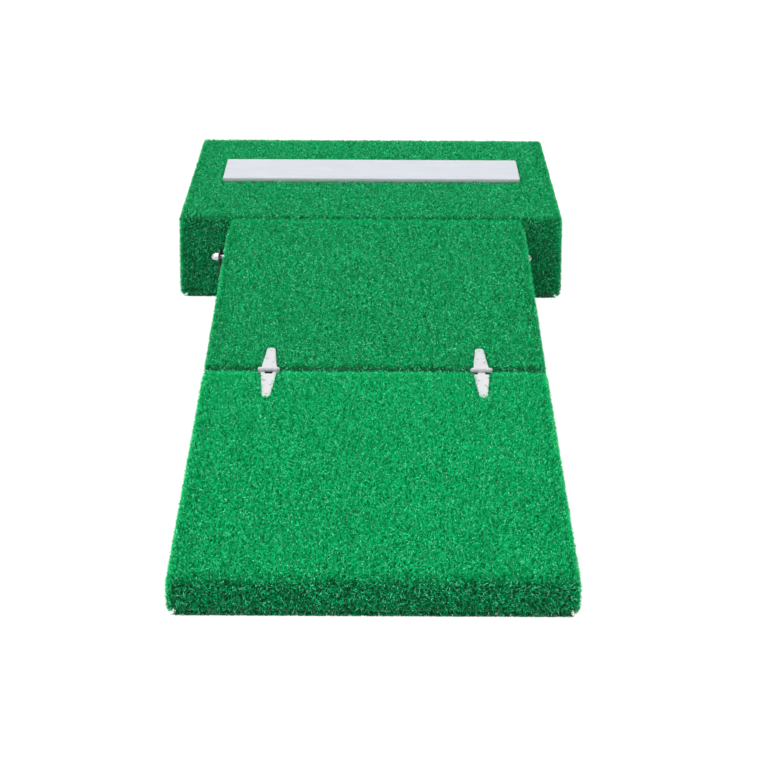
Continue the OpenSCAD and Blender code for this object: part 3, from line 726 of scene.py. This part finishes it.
def pitching_rubber():
    """A moulded slab with eased edges and a shallow dip along its middle."""
    size = rubber_high - rubber_low
    middle = (rubber_high + rubber_low) / 2
    mesh = bmesh.new()
    bmesh.ops.create_cube(mesh, size=1, matrix=Matrix.Translation(middle) @ Matrix.Diagonal((*size, 1)))
    upright = [e for e in mesh.edges if abs(e.verts[0].co.z - e.verts[1].co.z) > size.z / 2]
    bmesh.ops.bevel(mesh, geom=upright, offset=RUBBER_CORNER_R, segments=5, profile=0.5, affect="EDGES")
    top = [e for e in mesh.edges if all(v.co.z > middle.z for v in e.verts)]
    bmesh.ops.bevel(mesh, geom=top, offset=RUBBER_EDGE_R, segments=5, profile=0.5, affect="EDGES")
    for axis, cells in enumerate(RUBBER_CELLS):
        way = Vector((0, 0, 0))
        way[axis] = 1
        for k in range(1, cells):
            bmesh.ops.bisect_plane(mesh, geom=mesh.verts[:] + mesh.edges[:] + mesh.faces[:],
                                   plane_co=way * (rubber_low[axis] + size[axis] * k / cells), plane_no=way)
    for vertex in mesh.verts:
        if vertex.co.z > rubber_high.z - RUBBER_TOP_T:
            across = (vertex.co.y - middle.y) / (size.y / 2)
            lengthwise = (vertex.co.x - middle.x) / (size.x / 2)
            vertex.co.z -= RUBBER_DIP * (1 - across ** 2) * (1 - RUBBER_DIP_FADE * lengthwise ** 2)
    data = bpy.data.meshes.new("pitching_rubber_moulded")
    mesh.to_mesh(data)
    mesh.free()
    data.shade_smooth()
    data.materials.append(RUBBER)
    piece = bpy.data.objects.new(data.name, data)
    bpy.context.scene.collection.objects.link(piece)
    weighted = piece.modifiers.new("normals", "WEIGHTED_NORMAL")
    weighted.keep_sharp = True
    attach(piece, "box")
    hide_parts("pitching_rubber")


pitching_rubber()


# ---------- floor, light and camera ----------

FLOOR_HALF = 30.0
FLOOR_Z = -0.2 * MM
WALL_R, WALL_H = 29, 60
SKY_LIGHT = 0.3


def white_material():
    """A dull white that glows by itself, for the floor and the far wall."""
    return Tree("studio_white").finish(Base_Color=(*grey3(0.15), 1), Roughness=0.9, Specular_IOR_Level=0.0,
                                       Emission_Color=(1, 1, 1, 1), Emission_Strength=0.92)


WHITE = white_material()


def floor():
    data = bpy.data.meshes.new("studio_floor")
    corners = [(x * FLOOR_HALF, y * FLOOR_HALF, FLOOR_Z) for x, y in ((-1, -1), (1, -1), (1, 1), (-1, 1))]
    data.from_pydata(corners, [], [(0, 1, 2, 3)])
    data.materials.append(WHITE)
    piece = bpy.data.objects.new("studio_floor", data)
    bpy.context.scene.collection.objects.link(piece)


def backdrop():
    """A white wall far away all round. The lights and the object don't see it."""
    data = bpy.data.meshes.new("studio_wall")
    mesh = bmesh.new()
    bmesh.ops.create_cone(mesh, cap_ends=False, segments=64, radius1=WALL_R, radius2=WALL_R, depth=WALL_H)
    mesh.to_mesh(data)
    mesh.free()
    data.materials.append(WHITE)
    piece = bpy.data.objects.new("studio_wall", data)
    bpy.context.scene.collection.objects.link(piece)
    for ray in ("diffuse", "glossy", "transmission", "shadow"):
        setattr(piece, "visible_" + ray, False)


def soft_sun(name, towards, strength, spread):
    """A very wide sun, like a large soft box far away. towards is the way to it, spread its angle."""
    data = bpy.data.lights.new(name, "SUN")
    data.energy = strength
    data.angle = math.radians(spread)
    light = bpy.data.objects.new(name, data)
    light.rotation_euler = (-Vector(towards)).to_track_quat("-Z", "Y").to_euler()
    bpy.context.scene.collection.objects.link(light)


def studio():
    world = bpy.data.worlds.new("studio")
    bpy.context.scene.world = world
    world.use_nodes = True
    sky = world.node_tree.nodes["Background"]
    sky.inputs[0].default_value = (1, 1, 1, 1)
    sky.inputs[1].default_value = SKY_LIGHT
    soft_sun("overhead", towards=(-0.12, 0.42, 1.0), strength=3.5, spread=60)
    soft_sun("front_fill", towards=(-0.35, -1.0, 0.45), strength=2.0, spread=70)


CAMERA_AT = (0.01781, -3.64106, 1.30936)
CAMERA_DOWN, CAMERA_YAW, CAMERA_ROLL = 0.35383, 0.00039, 0.00494   # radians
FOCAL_PX, IMAGE_PX, SENSOR_MM = 2158.65, 760, 36.0


def camera():
    data = bpy.data.cameras.new("photo_view")
    data.sensor_width = SENSOR_MM
    data.lens = FOCAL_PX * SENSOR_MM / IMAGE_PX
    view = bpy.data.objects.new("photo_view", data)
    bpy.context.scene.collection.objects.link(view)
    down, yaw, roll = CAMERA_DOWN, CAMERA_YAW, CAMERA_ROLL
    ahead = Vector((math.sin(yaw) * math.cos(down), math.cos(yaw) * math.cos(down), -math.sin(down)))
    right = Vector((math.cos(yaw), -math.sin(yaw), 0))
    up = right.cross(ahead)
    c, s = math.cos(roll), math.sin(roll)
    right, up = c * right + s * up, c * up - s * right
    turn = Matrix((right, up, -ahead)).transposed()
    view.matrix_world = Matrix.Translation(CAMERA_AT) @ turn.to_4x4()
    bpy.context.scene.camera = view


floor()
backdrop()
studio()
camera()
bpy.context.scene.view_settings.view_transform = "Standard"
